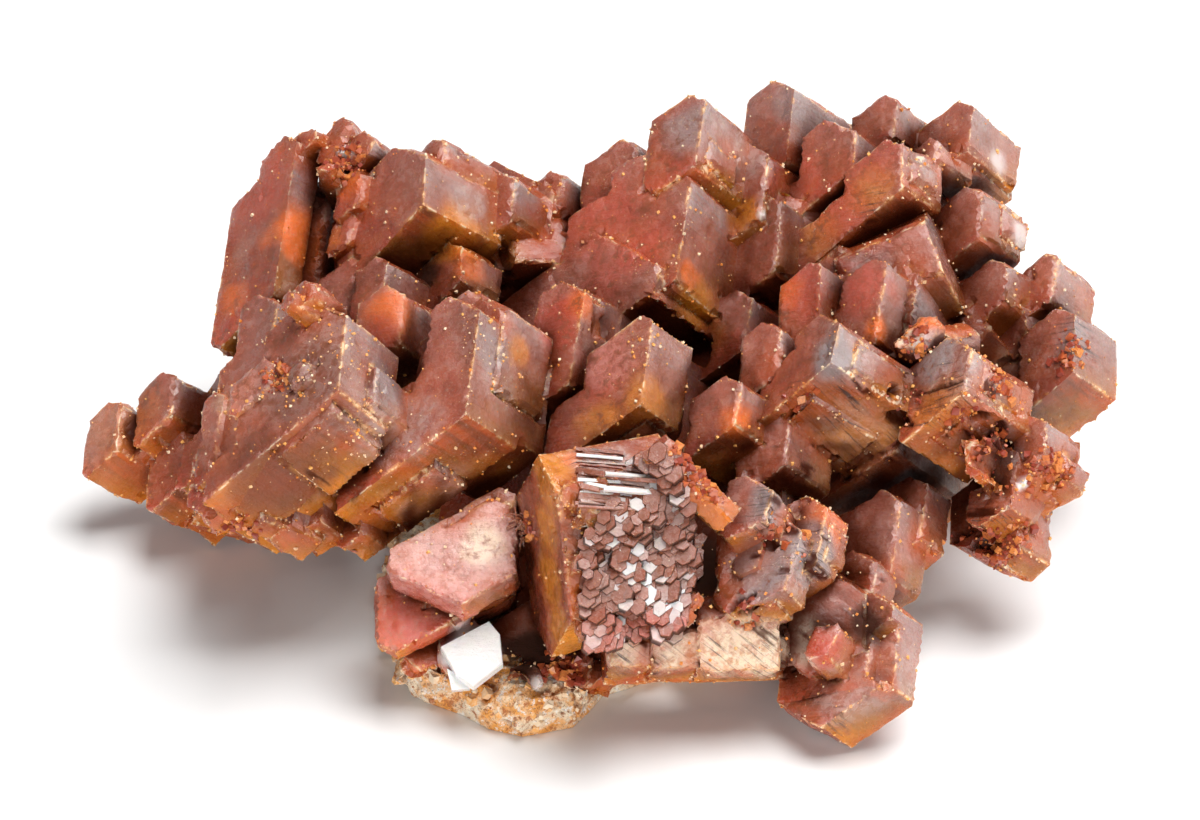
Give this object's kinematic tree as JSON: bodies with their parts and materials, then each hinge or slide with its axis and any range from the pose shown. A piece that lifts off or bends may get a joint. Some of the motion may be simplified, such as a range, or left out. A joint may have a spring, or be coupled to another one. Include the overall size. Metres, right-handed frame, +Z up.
{
  "type": "vanadinite crystal cluster",
  "caption": "Free-standing mineral specimen: a cluster of blocky red-brown six-sided vanadinite crystals grown together on a flat-bottomed remnant of pale matrix.",
  "frame": {"origin": "on the resting plane, below the middle of the specimen's box", "axes": "+Z up; +X to the right and the longest extent; the side seen in the picture faces -Y"},
  "size_m": [0.0428, 0.0302, 0.0166],
  "materials": {
    "crystal": "glossy resinous crystal faces, partly dusted and etched",
    "matrix": "rough, matt, cream to orange"
  },
  "bodies": {
    "root": {"vanadinite_crystals": "crystal", "matrix_crust": "matrix"}
  },
  "joints": []
}
